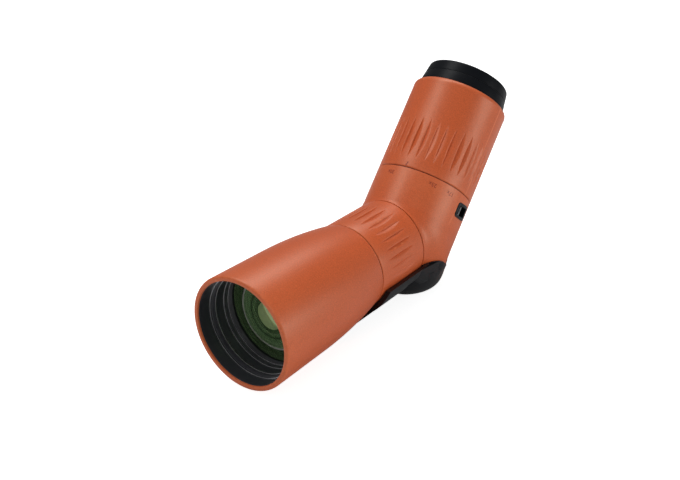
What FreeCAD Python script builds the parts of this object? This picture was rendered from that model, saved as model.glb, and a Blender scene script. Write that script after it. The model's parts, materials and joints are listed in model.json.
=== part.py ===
import FreeCAD, Part
import math
import os

from FreeCAD import Vector

# An angled zoom spotting scope, standing on its tripod foot. Millimetres.
# Frame: the origin is the centre of the tripod thread in the foot's flat base, +Z is up, the objective
# looks along -Y and +X is the side of the left strap lug. Most pieces are turned about one of two axes:
# the barrel axis, and the eyepiece axis that leaves it at the bend. Turned profiles are given as pairs
# (distance along the axis, radius), the barrel's measured back from the objective's front plane and the
# eyepiece's measured up from the bend.

# ---- stance of the two axes
axis_height = 36.0
front_to_thread = 148.0
bend_angle = 45.0
corner_radius = 2.5
flare_angle = 22.0

# ---- objective barrel
shoulder_at = 40.0
shoulder_radius = 30.8
lip_flare = 1.1
lip_round = 1.3
lip_overlap = 0.2
lip_depth = 1.2
barrel_length = 87.3
armour_thickness = 1.4
tube_wall = 1.6
sunshade_depth = 9.0
sunshade_step = 0.3
filter_thread_length = 3.0
filter_thread_step = 0.6
barrel_end_wall = 5.0

# ---- objective lenses
lens_bore_wall = 1.4
lens_land = 1.4
retainer_at = 18.6
retainer_length = 2.6
retainer_wall = 0.7
slot_width = 2.2
slot_depth = 0.8
slot_count = 4
clamp_ring_length = 3.4
clamp_ring_step = 0.1
lens_seal_length = 1.2
front_lens_edge = 6.0
front_lens_curve = 120.0
lens_spacer_length = 2.4
crown_edge = 5.0
crown_curve = 150.0
cement_curve = 90.0
flint_edge = 5.5
flint_curve = 260.0
lens_seat_length = 2.0
baffle_wall = 0.8
baffle_overlap = 3.0

# ---- neck and focusing ring
seam_gap = 0.3
neck_wall = 2.4
neck_front_at = 76.0
focus_ring_length = 38.4
barrel_rear_step = 0.45
focus_ring_front_step = 0.4
focus_ring_rear_step = 0.1
focus_grip_wall = 1.5
focus_core_wall = 3.25
running_clearance = 0.05
focus_half_turn = 110.0
focus_pitch = 18.0
focus_pin_radius = 1.2
pin_clearance = 0.12
pin_end_gap = 0.3
focus_cell_length = 14.0
focus_cell_wall = 2.0
focus_shoulder = 1.0
focus_lens_edge = 5.0
focus_lens_curve = 70.0
focus_groove_depth = 1.9
seal_width = 1.6
seal_depth = 1.1
seal_inset = 3.0

# ---- grip grooves, long lens-shaped cuts
focus_groove_count = 30
focus_groove_length = 23.5
zoom_groove_count = 34
zoom_groove_length = 25.5
groove_cut_depth = 0.55
groove_width = 2.3

# ---- angled body
body_front_radius = 24.7
body_wall = 1.8
body_top = 28.0
front_wall = 2.8
body_seat_length = 3.3

# ---- prism
prism_width = 24.0
prism_face = 32.0
prism_apex_height = 15.5
prism_corner_cut = 3.0
cradle_wall = 2.4
clamp_thickness = 1.6
prism_window_radius = 10.5

# ---- eyepiece
eyepiece_radius = 28.6
zoom_grip_thickness = 1.6
zoom_core_thickness = 1.7
eyepiece_tube_radius = 23.0
eyepiece_bore_radius = 19.5
zoom_ring_length = 57.1
zoom_ring_round = 3.0
zoom_rim_land = 0.3
zoom_core_length = 48.5
guide_seat_radius = 21.8
eyepiece_tube_length = 66.3
field_stop_radius = 9.0
field_stop_thickness = 1.5
zoom_turn_back = 64.0
zoom_turn_forward = 62.0
zoom_pin_radius = 1.2
front_cell_at = 38.5
front_cell_length = 9.0
front_cell_pitch = 24.0
rear_cell_at = 58.0
rear_cell_length = 8.0
rear_cell_pitch = -18.0
zoom_lens_radius = 14.5
zoom_lens_edge = 3.2
zoom_lens_curve = 45.0
zoom_shoulder = 1.0
retaining_ring_length = 1.5
eye_cell_length = 20.0
eye_lens_radius = 15.5
eye_cell_opening = 14.0
eye_lens_edge = 4.2
eye_lens_curve = 38.0
eye_retainer_length = 2.5
eye_cell_flange = 1.2
eye_cell_ledge = 1.0
eye_cell_chamfer = 1.5

# ---- twist-up eyecup
guide_wall = 1.4
guide_top = 94.0
detent_ring_wall = 1.1
detent_ring_length = 6.0
eyecup_foot = 79.2
eyecup_radius = 26.6
eyecup_groove_at = 92.6
eyecup_groove_radius = 25.4
eyecup_top = 99.4
eyecup_rim_radius = 24.6
eyecup_rim_round = 1.6
eyecup_bore_clearance = 0.3
eyecup_lip_radius = 20.5
eyecup_lip_length = 3.9
eyecup_lip_taper = 0.5

# ---- strap lugs
lug_at = 19.4
lug_angle = -7.0
lug_length = 9.0
lug_width = 12.6
lug_slant = 1.4
lug_depth = 4.4
lug_frame = 1.6
lug_stand_out = 0.35
lug_pin_radius = 0.9
lug_pin_sink = 1.0
lug_corner = 1.8
lug_pocket_wall = 1.2

# ---- tripod foot
bridge_thickness = 2.5
bridge_lip = 0.8
band_height = 6.0
band_step = 0.5
band_front_at = 113.0
bridge_clearance = 0.5
tongue_front_at = 61.0
tongue_half_width = 15.5
bridge_edge_drop = 10.2
bridge_edge_rise = 1.0
bridge_rear_slope = 39.0
bridge_sweep = 4.0
bridge_step_before = 4.0
bridge_step_after = 6.0
bridge_step_round = 0.4
bridge_crest_end = 10.0
bridge_crest_fall = 0.9
bridge_rear_before = 3.0
bridge_rear_fall = 3.4
bridge_seat = 3.0
tongue_sink = 0.4
band_bend_before = 8.0
heel_base_length = 31.0
heel_base_width = 26.0
heel_base_shift = -0.8
heel_top_height = 19.0
heel_top_length = 52.0
heel_top_width = 52.0
heel_top_shift = -9.0
heel_edge_round = 2.5
heel_bulge = 0.6
bush_radius = 5.0
bush_length = 8.5
bush_end_wall = 0.8
thread_radius = 2.6
pin_hole_radius = 2.25
pin_hole_depth = 5.0
pin_hole_distance = 10.5
foot_screw_radius = 1.5
foot_screw_head_radius = 2.6
foot_screw_head = 2.4
foot_screw_sink = 1.0
foot_screw_socket = 1.4
foot_screw_end_gap = 0.2
foot_screw_spread = 12.2
foot_screw_behind = 4.9

# ---- places that follow from the sizes above
lip_radius = shoulder_radius + lip_flare
lens_radius = shoulder_radius - armour_thickness - lens_bore_wall
lens_seat_radius = lens_radius - lens_land
retainer_bore_radius = lens_radius - retainer_wall
filter_thread_radius = lens_radius + filter_thread_step
sunshade_radius = filter_thread_radius + sunshade_step
lip_opening_radius = sunshade_radius + lip_overlap
barrel_rear_radius = body_front_radius + barrel_rear_step
focus_ring_front_radius = body_front_radius + focus_ring_front_step
focus_ring_rear_radius = body_front_radius + focus_ring_rear_step
focus_core_radius = focus_ring_rear_radius - focus_grip_wall
neck_radius = focus_core_radius - focus_core_wall - running_clearance
neck_bore_radius = neck_radius - neck_wall
body_front = barrel_length + 2 * seam_gap + focus_ring_length
focus_ring_front = barrel_length + seam_gap
neck_rear = body_front + front_wall
pivot_height = body_front_radius + corner_radius
turn = math.radians(bend_angle)
bend_at = body_front - (math.cos(turn) * pivot_height - eyepiece_radius - corner_radius) / math.sin(turn)
retainer_end = retainer_at + retainer_length
clamp_ring_end = retainer_end + clamp_ring_length
front_lens_at = clamp_ring_end + lens_seal_length
crown_at = front_lens_at + front_lens_edge + lens_spacer_length
flint_at = crown_at + crown_edge
lens_seat_at = flint_at + flint_edge
body_bore_radius = eyepiece_radius - armour_thickness - body_wall
body_seat_at = body_top - body_seat_length
zoom_ring_at = body_top + seam_gap
zoom_ring_end = zoom_ring_at + zoom_ring_length
zoom_core_end = zoom_ring_at + zoom_core_length
grip_bore_radius = eyepiece_radius - zoom_grip_thickness
cam_radius = grip_bore_radius - zoom_core_thickness
cam_bore_radius = eyepiece_tube_radius + running_clearance
guide_seat_at = zoom_core_end + seam_gap
guide_radius = guide_seat_radius + guide_wall
guide_foot = guide_seat_at + retaining_ring_length
eyepiece_tube_end = body_seat_at + eyepiece_tube_length
eye_cell_at = eyepiece_tube_end - eye_cell_length
detent_bore_radius = guide_radius + running_clearance
detent_radius = detent_bore_radius + detent_ring_wall


# ---- shared shapes

def polyline(points):
    """Closed wire in the YZ plane. A pair is a corner; four numbers are an arc's middle and end."""
    edges = []
    here = Vector(0, points[0][0], points[0][1])
    first = here
    for step in points[1:]:
        there = Vector(0, step[-2], step[-1])
        if len(step) == 4:
            edges.append(Part.Arc(here, Vector(0, step[0], step[1]), there).toShape())
        else:
            edges.append(Part.makeLine(here, there))
        here = there
    if here.distanceToPoint(first) > 1e-6:
        edges.append(Part.makeLine(here, first))
    return Part.Wire(edges)


def turned(points):
    """Solid of revolution about the Y axis from (distance, radius) points."""
    face = Part.Face(polyline(points))
    return face.revolve(Vector(0, 0, 0), Vector(0, 1, 0), 360)


def tube(start, end, inner, outer):
    """Plain ring or sleeve about the Y axis."""
    ring = Part.makeCylinder(outer, end - start, Vector(0, start, 0), Vector(0, 1, 0))
    if inner > 0:
        bore = Part.makeCylinder(inner, end - start, Vector(0, start, 0), Vector(0, 1, 0))
        ring = ring.cut(bore)
    return ring


def cone(start, start_radius, end, end_radius):
    return turned([(start, 0), (start, start_radius), (end, end_radius), (end, 0)])


def on_barrel(shape):
    """From the barrel's own coordinates to the scope's frame."""
    placed = shape.copy()
    placed.translate(Vector(0, -front_to_thread, axis_height))
    return placed


def on_eyepiece(shape):
    """From the eyepiece's own coordinates to the barrel's."""
    placed = shape.copy()
    placed.rotate(Vector(0, 0, 0), Vector(1, 0, 0), bend_angle)
    placed.translate(Vector(0, bend_at, 0))
    return placed


def spun(shape, degrees):
    copy = shape.copy()
    copy.rotate(Vector(0, 0, 0), Vector(0, 1, 0), degrees)
    return copy


def box(x0, x1, y0, y1, z0, z1):
    return Part.makeBox(x1 - x0, y1 - y0, z1 - z0, Vector(x0, y0, z0))


def slab(points, half_width):
    """Outline in the YZ plane, extruded to both sides of the middle."""
    face = Part.Face(polyline(points))
    face.translate(Vector(-half_width, 0, 0))
    return face.extrude(Vector(2 * half_width, 0, 0))


def sagitta(radius, curve):
    return abs(curve) - math.sqrt(curve * curve - radius * radius)


def bulge(at, radius, curve):
    """Vertex and half-way point of a spherical lens face whose edge lies at a distance along the axis.
    A positive curve bulges towards the front, a negative one towards the rear."""
    sign = -1 if curve > 0 else 1
    vertex = at + sign * sagitta(radius, curve)
    middle = vertex - sign * sagitta(radius / 2, curve)
    return vertex, middle


def lens(front_edge, rear_edge, radius, land, front_curve, rear_curve):
    """Lens with spherical faces, a flat land round each face and a ground cylindrical edge."""
    face_radius = radius - land
    front_vertex, front_middle = bulge(front_edge, face_radius, front_curve)
    rear_vertex, rear_middle = bulge(rear_edge, face_radius, rear_curve)
    return turned([
        (front_vertex, 0),
        (front_middle, face_radius / 2, front_edge, face_radius),
        (front_edge, radius),
        (rear_edge, radius),
        (rear_edge, face_radius),
        (rear_middle, face_radius / 2, rear_vertex, 0),
    ])


def oval(centre, across, along):
    """Closed ellipse from its centre and its two half axes, whichever of them is longer."""
    unit = Part.Circle(Vector(0, 0, 0), Vector(0, 0, 1), 1).toBSpline()
    poles = [centre + across * pole.x + along * pole.y for pole in unit.getPoles()]
    curve = Part.BSplineCurve()
    curve.buildFromPolesMultsKnots(poles, unit.getMultiplicities(), unit.getKnots(),
                                   unit.isPeriodic(), unit.Degree, unit.getWeights())
    return Part.Wire([curve.toShape()])


def radial_pin(along, inner, outer, radius):
    """Round pin standing out of the axis towards +Z."""
    return Part.makeCylinder(radius, outer - inner, Vector(0, along, inner), Vector(0, 0, 1))


def straight_slot(centre, travel, inner, outer, pin_radius):
    """Slot along the axis, open towards +Z, that lets a pin travel to both sides of its centre."""
    half = pin_radius + pin_clearance
    slot = box(-half, half, centre - travel, centre + travel, inner, outer)
    for end in (centre - travel, centre + travel):
        slot = slot.fuse(radial_pin(end, inner, outer, half))
    return slot


def helical_slot(centre, pitch, turn_back, turn_forward, inner, outer, pin_radius):
    """Cam slot for a pin at +Z and the centre. Turning the cam by an angle about +Y
    moves the pin by that share of the pitch, so the slot runs the other way round."""
    middle = (inner + outer) / 2
    slope = math.atan(abs(pitch) / (2 * math.pi * middle))
    margin = math.degrees((pin_radius + pin_clearance) / middle / math.cos(slope)) + 1.0
    sweep = turn_back + turn_forward + 2 * margin
    rise = abs(pitch) * sweep / 360
    half = (pin_radius + pin_clearance) / math.cos(slope)
    helix = Part.makeHelix(abs(pitch), rise, middle, 0, pitch > 0)
    profile = Part.makePolygon([
        Vector(inner, 0, -half),
        Vector(outer, 0, -half),
        Vector(outer, 0, half),
        Vector(inner, 0, half),
        Vector(inner, 0, -half),
    ])
    slot = Part.Wire(helix.Edges).makePipeShell([profile], True, True)
    slot.rotate(Vector(0, 0, 0), Vector(1, 0, 0), -90)
    first_angle = turn_back + margin if pitch > 0 else -turn_forward - margin
    slot.rotate(Vector(0, 0, 0), Vector(0, 1, 0), first_angle - 90)
    slot.translate(Vector(0, centre - abs(pitch) * abs(first_angle) / 360, 0))
    return slot


def groove_cutter(centre, length, radius):
    """Long thin cutter, pointed at both ends, with one steep and one shallow side, on the +Z side."""
    front = Vector(0, centre - length / 2, radius)
    rear = Vector(0, centre + length / 2, radius)
    root = Vector(0, centre, radius - groove_cut_depth)
    steep = Vector(-0.15 * groove_width, centre, radius + groove_cut_depth)
    shallow = Vector(0.85 * groove_width, centre, radius + groove_cut_depth / 4)
    corners = [(front, root, steep), (front, shallow, root), (front, steep, shallow),
               (rear, steep, root), (rear, root, shallow), (rear, shallow, steep)]
    faces = [Part.Face(Part.makePolygon([a, b, c, a])) for a, b, c in corners]
    return Part.Solid(Part.Shell(faces))


def grooved(ring, count, centre, length, radius):
    """Ring with a row of grip grooves all round."""
    cutter = groove_cutter(centre, length, radius)
    cutters = [spun(cutter, 360 * i / count) for i in range(count)]
    return ring.cut(Part.makeCompound(cutters))


# ---- barrel

def barrel_slope():
    """Fall of the barrel's straight front part, per millimetre."""
    return (lip_radius - shoulder_radius) / shoulder_at


def barrel_curve():
    """Middle of the arc that leaves the straight part smoothly and ends at the barrel's rear."""
    run = barrel_length - shoulder_at
    fall = barrel_rear_radius - shoulder_radius
    chord = math.hypot(run, fall)
    lean = math.atan2(fall, run)
    bend = lean + math.atan(barrel_slope())
    height = chord / 2 * math.tan(abs(bend) / 2)
    along = shoulder_at + run / 2 - height * math.sin(lean)
    radius = (shoulder_radius + barrel_rear_radius) / 2 + height * math.cos(lean)
    return along, radius


def barrel_form(inset, start, end_wall=0.0):
    """Solid of the barrel's outer form, moved inwards by an inset, between a start and the rear."""
    middle_at, middle_radius = barrel_curve()
    form = turned([
        (0, 0),
        (0, lip_radius - inset),
        (shoulder_at, shoulder_radius - inset),
        (middle_at, middle_radius - inset, barrel_length, barrel_rear_radius - inset),
        (barrel_length, 0),
    ])
    if start > 0:
        form = form.cut(tube(-1, start, 0, lip_radius + 1))
    if end_wall > 0:
        form = form.cut(tube(barrel_length - end_wall, barrel_length + 1, 0, lip_radius))
    return form


def barrel_armour():
    """Soft armour over the barrel, with a rolled lip round the mouth."""
    outer = barrel_form(0, 0)
    rim = [edge for edge in outer.Edges if abs(edge.BoundBox.YMax) < 1e-6]
    outer = outer.makeFillet(lip_round, rim)
    core = barrel_form(armour_thickness, lip_depth)
    mouth = tube(-1, lip_depth, 0, lip_opening_radius)
    armour = outer.cut(core).cut(mouth)
    mouth_edge = [edge for edge in armour.Edges
                  if abs(edge.BoundBox.YMax) < 1e-6 and abs(edge.BoundBox.ZMax - lip_opening_radius) < 1e-3]
    return armour.makeFillet(lip_round / 3, mouth_edge)


def barrel_tube():
    """Metal tube with a plain sunshade, the filter thread, the lens bore and its seat."""
    thread_end = sunshade_depth + filter_thread_length
    body = barrel_form(armour_thickness, lip_depth)
    hollow = barrel_form(armour_thickness + tube_wall, lens_seat_at + lens_seat_length, barrel_end_wall)
    body = body.cut(hollow)
    body = body.cut(tube(0, sunshade_depth, 0, sunshade_radius))
    body = body.cut(tube(sunshade_depth, thread_end, 0, filter_thread_radius))
    body = body.cut(tube(thread_end, lens_seat_at, 0, lens_radius))
    body = body.cut(tube(lens_seat_at, lens_seat_at + lens_seat_length, 0, lens_seat_radius))
    return body.cut(tube(barrel_length - barrel_end_wall, barrel_length, 0, neck_radius))


def lens_retaining_ring():
    """Ring in front of the lenses, with slots for a spanner in its front face."""
    ring = tube(retainer_at, retainer_end, retainer_bore_radius, lens_radius)
    slot = box(-slot_width / 2, slot_width / 2, retainer_at, retainer_at + slot_depth, 0, lens_radius + 1)
    for i in range(slot_count):
        ring = ring.cut(spun(slot, 360 * i / slot_count))
    return ring


def baffle_cone():
    """Thin black cone that keeps stray light off the neck."""
    front = lens_seat_at + lens_seat_length
    neck_seat = neck_front_at + baffle_overlap
    outer = [
        (front, lens_seat_radius + baffle_wall * 0.75),
        (neck_front_at, neck_radius + baffle_wall),
        (neck_seat, neck_radius + baffle_wall),
    ]
    inner = [(neck_seat, neck_radius), (neck_front_at, neck_radius), (front, lens_seat_radius - baffle_wall / 4)]
    return turned(outer + inner)


# ---- neck and focusing

def neck_tube():
    """Fixed tube between the barrel and the body, under the focusing ring."""
    centre = focus_ring_front + focus_ring_length / 2
    travel = focus_pitch * focus_half_turn / 360
    neck = tube(neck_front_at, neck_rear, neck_bore_radius, neck_radius)
    for at in seal_places():
        neck = neck.cut(tube(at, at + seal_width, neck_radius - seal_depth, neck_radius + 1))
    return neck.cut(straight_slot(centre, travel, neck_bore_radius - 2, neck_radius + 2, focus_pin_radius))


def seal_places():
    front = focus_ring_front + seal_inset
    rear = focus_ring_front + focus_ring_length - seal_inset - seal_width
    return front, rear


def focus_seals():
    rings = [tube(at, at + seal_width, neck_radius - seal_depth, neck_radius) for at in seal_places()]
    return Part.makeCompound(rings)


def focus_core():
    """Metal ring that runs on the neck; a helical groove inside drives the focusing lens."""
    rear = focus_ring_front + focus_ring_length
    core = tube(focus_ring_front, rear, neck_radius + running_clearance, focus_core_radius)
    groove_radius = neck_radius + running_clearance + focus_groove_depth
    groove = helical_slot(focus_ring_front + focus_ring_length / 2, focus_pitch, focus_half_turn,
                          focus_half_turn, neck_radius - 2, groove_radius, focus_pin_radius)
    return core.cut(groove)


def focus_grip():
    """Ribbed armour sleeve on the focusing ring."""
    rear = focus_ring_front + focus_ring_length
    sleeve = cone(focus_ring_front, focus_ring_front_radius, rear, focus_ring_rear_radius)
    sleeve = sleeve.cut(tube(focus_ring_front, rear, 0, focus_core_radius))
    centre = focus_ring_front + focus_ring_length / 2
    radius = (focus_ring_front_radius + focus_ring_rear_radius) / 2
    return grooved(sleeve, focus_groove_count, centre, focus_groove_length, radius)


def focus_cell_span():
    centre = focus_ring_front + focus_ring_length / 2
    return centre - focus_cell_length / 2, centre + focus_cell_length / 2


def focus_lens_cell():
    """Sliding cell of the focusing lens, with a socket for its drive pin."""
    start, end = focus_cell_span()
    outer = neck_bore_radius - running_clearance
    inner = outer - focus_cell_wall
    cell = tube(start, end, inner, outer)
    seat = tube(end - focus_cell_wall, end, inner - focus_shoulder, inner)
    cell = cell.fuse(seat).removeSplitter()
    return cell.cut(radial_pin((start + end) / 2, 0, 2 * outer, focus_pin_radius))


def focus_lens():
    start, end = focus_cell_span()
    radius = neck_bore_radius - running_clearance - focus_cell_wall
    rear = end - focus_cell_wall
    return lens(rear - focus_lens_edge, rear, radius, focus_shoulder, focus_lens_curve, focus_lens_curve * 2)


def focus_drive_pin():
    """Pin from the cell through the neck's slot into the ring's helical groove."""
    start, end = focus_cell_span()
    inner = neck_bore_radius - running_clearance - focus_cell_wall
    outer = neck_radius + running_clearance + focus_groove_depth - pin_end_gap
    pin = radial_pin((start + end) / 2, inner, outer, focus_pin_radius)
    return pin


# ---- angled body

def bend_section(angle, inset):
    """Closed outline of the bend in a plane through the pivot line above its inner corner."""
    lean = math.radians(angle)
    fillet = corner_radius + inset
    share = min(1.0, angle / flare_angle)
    blend = share * share * (3 - 2 * share)
    barrel_reach = 2 * (body_front_radius - inset) / math.cos(lean)
    tube_reach = (2 * (eyepiece_radius - inset) + fillet) / math.cos(turn - lean) - fillet
    half_height = (barrel_reach + (tube_reach - barrel_reach) * blend) / 2
    half_width = body_front_radius + (eyepiece_radius - body_front_radius) * blend - inset
    down = Vector(0, math.sin(lean), -math.cos(lean))
    pivot = Vector(0, body_front, pivot_height)
    centre = pivot + down * (fillet + half_height)
    return oval(centre, Vector(half_width, 0, 0), down * half_height)


def bend_form(inset, start=None):
    """Solid of the bend from the focusing ring to the body's top, moved inwards by an inset."""
    angles = [flare_angle * share for share in (0, 0.25, 0.5, 0.75, 1)]
    angles += [(flare_angle + bend_angle) / 2, bend_angle]
    form = Part.makeLoft([bend_section(angle, inset) for angle in angles], True, False)
    upper = on_eyepiece(tube(bend_end(), body_top, 0, eyepiece_radius - inset))
    form = form.fuse(upper)
    if start is not None:
        form = form.cut(tube(0, start, 0, 3 * eyepiece_radius))
    return form


def body_form(inset, start=None):
    """The bend with its level underside, which continues the focusing ring's lowest line."""
    reach = 3 * eyepiece_radius
    under = inset - body_front_radius
    return bend_form(inset, start).cut(box(-reach, reach, 0, body_front + 2 * reach, under - reach, under))


def bend_end():
    """Distance along the eyepiece axis where the bend becomes a straight tube."""
    along = Vector(0, math.cos(turn), math.sin(turn))
    pivot = Vector(0, body_front - bend_at, pivot_height)
    return along.dot(pivot)


def body_armour():
    """Soft armour over the angled body, with openings for the strap lugs."""
    armour = body_form(0).cut(body_form(armour_thickness))
    for side in (1, -1):
        armour = armour.cut(lug_block(side, 0))
    return armour


def body_housing():
    """Cast body: front wall round the neck, open at the top for the eyepiece, with lug pockets."""
    body = body_form(armour_thickness)
    body = body.cut(body_form(armour_thickness + body_wall, neck_rear))
    body = body.cut(tube(body_front - 1, neck_rear, 0, neck_radius))
    for side in (1, -1):
        pad = lug_block(side, lug_pocket_wall).common(body_form(armour_thickness))
        body = body.fuse(pad)
        body = body.cut(lug_block(side, 0))
    return body.cut(on_eyepiece(tube(body_seat_at, body_top, 0, body_bore_radius)))


# ---- prism

def prism_points():
    """Corners of the prism: its apex, and the lower ends of its entry and exit faces."""
    entry = neck_rear + cradle_wall
    apex = Vector(0, entry, prism_apex_height)
    low = Vector(0, entry, prism_apex_height - prism_face)
    down = Vector(0, math.sin(turn), -math.cos(turn))
    high = apex + down * prism_face
    return apex, low, high


def roof_prism():
    """Glass prism with a roof along its base that turns the light by the bend angle."""
    apex, low, high = prism_points()
    along = (high - low).normalize()
    inwards = Vector(0, -along.z, along.y)
    half = prism_width / 2
    face = Part.Face(Part.makePolygon([
        apex,
        low,
        low + along * prism_corner_cut,
        high - along * prism_corner_cut,
        high,
        apex,
    ]))
    face.translate(Vector(-half, 0, 0))
    block = face.extrude(Vector(prism_width, 0, 0))
    side = Vector(1, 0, 0)
    start = low - along * prism_face
    eaves = inwards * half
    top = inwards * (half + prism_face)
    roof = Part.Face(Part.makePolygon([
        start,
        start - side * half + eaves,
        start - side * half + top,
        start + side * half + top,
        start + side * half + eaves,
        start,
    ])).extrude(along * (3 * prism_face))
    ends = inwards * prism_corner_cut
    trimmed = Part.Face(Part.makePolygon([
        apex - along * prism_face + ends,
        low - along * prism_corner_cut + ends,
        low + along * prism_corner_cut,
        high - along * prism_corner_cut,
        high + along * prism_corner_cut + ends,
        apex + along * prism_face + ends,
        apex + inwards * prism_face,
        apex - along * prism_face + ends,
    ]))
    trimmed.translate(Vector(-half, 0, 0))
    return block.common(roof).common(trimmed.extrude(Vector(prism_width, 0, 0)))


def prism_cradle():
    """Frame of the prism: a front plate with a window and two side plates."""
    apex, low, high = prism_points()
    half = prism_width / 2
    front = box(-half - cradle_wall, half + cradle_wall, neck_rear, apex.y, low.z, apex.z)
    front = front.cut(tube(neck_rear, apex.y, 0, prism_window_radius))
    frame = front
    outline = [
        (neck_rear, apex.z),
        (apex.y, apex.z),
        (high.y, high.z),
        (low.y + prism_corner_cut, low.z),
        (neck_rear, low.z),
    ]
    for x in (-half - cradle_wall, half):
        plate = Part.Face(polyline(outline))
        plate.translate(Vector(x, 0, 0))
        frame = frame.fuse(plate.extrude(Vector(cradle_wall, 0, 0)))
    return frame.removeSplitter()


def prism_clamp():
    """Plate with a window that holds the prism down by its exit face."""
    apex, low, high = prism_points()
    half = prism_width / 2 + cradle_wall
    along = Vector(0, math.cos(turn), math.sin(turn))
    at = along.dot(apex - Vector(0, bend_at, 0))
    plate = box(-half, half, at, at + clamp_thickness, -prism_face / 2, prism_face / 2)
    middle = (apex + high) * 0.5 - Vector(0, bend_at, 0)
    offset = middle.dot(Vector(0, -math.sin(turn), math.cos(turn)))
    plate.translate(Vector(0, 0, offset))
    plate = plate.cut(tube(at, at + clamp_thickness, 0, prism_window_radius))
    return on_eyepiece(plate)


# ---- eyepiece

def eyepiece_tube():
    """Fixed tube of the eyepiece, seated in the body, with straight slots for the zoom pins."""
    neck = turned([
        (body_seat_at, eyepiece_bore_radius),
        (body_seat_at, body_bore_radius),
        (body_top, body_bore_radius),
        (body_top, eyepiece_tube_radius),
        (guide_seat_at, eyepiece_tube_radius),
        (guide_seat_at, guide_seat_radius),
        (eyepiece_tube_end, guide_seat_radius),
        (eyepiece_tube_end, eyepiece_bore_radius),
    ])
    for at, pitch in ((front_cell_at, front_cell_pitch), (rear_cell_at, rear_cell_pitch)):
        centre, travel = slot_run(at, pitch)
        slot = straight_slot(centre, travel, eyepiece_bore_radius - 2, eyepiece_tube_radius + 2, zoom_pin_radius)
        neck = neck.cut(spun(slot, 180))
    return neck


def slot_run(at, pitch):
    """Middle and half length of a zoom pin's way along the axis."""
    ends = (at + pitch * zoom_turn_forward / 360, at - pitch * zoom_turn_back / 360)
    return (ends[0] + ends[1]) / 2, abs(ends[0] - ends[1]) / 2


def field_stop():
    return tube(body_seat_at, body_seat_at + field_stop_thickness, field_stop_radius, eyepiece_bore_radius)


def zoom_cam_sleeve():
    """Sleeve inside the zoom ring with one helical slot for each moving lens cell."""
    sleeve = tube(zoom_ring_at, zoom_core_end, cam_bore_radius, cam_radius)
    for at, pitch in ((front_cell_at, front_cell_pitch), (rear_cell_at, rear_cell_pitch)):
        slot = helical_slot(at, pitch, zoom_turn_back, zoom_turn_forward, cam_bore_radius - 2,
                            cam_radius + 1, zoom_pin_radius)
        sleeve = sleeve.cut(spun(slot, 180))
    return sleeve


def zoom_core():
    """Metal ring between the cam sleeve and the armour of the zoom ring."""
    return tube(zoom_ring_at, zoom_core_end, cam_radius, grip_bore_radius)


def zoom_grip():
    """Ribbed armour sleeve on the zoom ring, rounded over at its top."""
    corner = zoom_ring_round * (1 - math.sqrt(0.5))
    crest = eyepiece_radius - min(zoom_ring_round, zoom_grip_thickness - zoom_rim_land)
    drop = eyepiece_radius - crest
    sleeve = turned([
        (zoom_ring_at, grip_bore_radius),
        (zoom_ring_at, eyepiece_radius),
        (zoom_ring_end - zoom_ring_round, eyepiece_radius),
        (zoom_ring_end - corner, eyepiece_radius - drop * (1 - math.sqrt(0.5)), zoom_ring_end, crest),
        (zoom_ring_end, grip_bore_radius),
    ])
    centre = zoom_ring_at + (zoom_core_length - zoom_groove_length) / 2 + zoom_groove_length / 4
    return grooved(sleeve, zoom_groove_count, centre, zoom_groove_length, eyepiece_radius)


def zoom_cell(at, length):
    """Sliding lens cell with a shoulder behind its lens and a socket for its pin."""
    outer = eyepiece_bore_radius - running_clearance
    cell = tube(at - length / 2, at + length / 2, zoom_lens_radius, outer)
    shoulder = tube(at + zoom_lens_edge / 2, at + length / 2, zoom_lens_radius - zoom_shoulder, zoom_lens_radius)
    cell = cell.fuse(shoulder).removeSplitter()
    socket = radial_pin(at, eyepiece_bore_radius - zoom_pin_depth(), outer + 1, zoom_pin_radius)
    return cell.cut(spun(socket, 180))


def zoom_pin_depth():
    """How deep a zoom pin is seated in its cell."""
    return (eyepiece_bore_radius - zoom_lens_radius) / 2


def zoom_lens(at, front_curve, rear_curve):
    half = zoom_lens_edge / 2
    return lens(at - half, at + half, zoom_lens_radius, zoom_shoulder, front_curve, rear_curve)


def zoom_pin(at):
    pin = radial_pin(at, eyepiece_bore_radius - zoom_pin_depth(), cam_radius - pin_end_gap, zoom_pin_radius)
    return spun(pin, 180)


def zoom_retaining_ring():
    """Ring on the eyepiece tube's step that keeps the zoom ring down."""
    return tube(guide_seat_at, guide_foot, guide_seat_radius, cam_radius)


def eye_lens_cell():
    """Fixed cell of the eye lenses, with a flange on the eyepiece tube's top."""
    flange = eyepiece_tube_end + eye_cell_flange
    inner_top = eyepiece_tube_end - eye_cell_ledge
    return turned([
        (eye_cell_at, eye_lens_radius),
        (eye_cell_at, eyepiece_bore_radius),
        (eyepiece_tube_end, eyepiece_bore_radius),
        (eyepiece_tube_end, guide_seat_radius),
        (flange, guide_seat_radius),
        (flange, eye_cell_opening + eye_cell_chamfer),
        (inner_top, eye_cell_opening),
        (inner_top - eye_cell_ledge, eye_cell_opening),
        (inner_top - eye_cell_ledge, eye_lens_radius),
    ])


def eye_lens_outer_at():
    return eyepiece_tube_end - 2 * eye_cell_ledge - eye_lens_edge


def eye_lens_inner_at():
    return eye_cell_at + eye_retainer_length


def eye_lens_spacer():
    """Thin ring that keeps the two eye lenses apart."""
    start = eye_lens_inner_at() + eye_lens_edge
    return tube(start, eye_lens_outer_at(), eye_cell_opening, eye_lens_radius)


def eye_lens_retainer():
    return tube(eye_cell_at, eye_lens_inner_at(), eye_cell_opening, eye_lens_radius)


# ---- eyecup

def eyecup_guide():
    """Fixed sleeve that the eyecup climbs."""
    return tube(guide_foot, guide_top, guide_seat_radius, guide_radius)


def detent_ring():
    """Ring that slides on the guide and carries the turning eyecup from click to click."""
    start = eyecup_foot + seam_gap
    return tube(start, start + detent_ring_length, detent_bore_radius, detent_radius)


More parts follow.
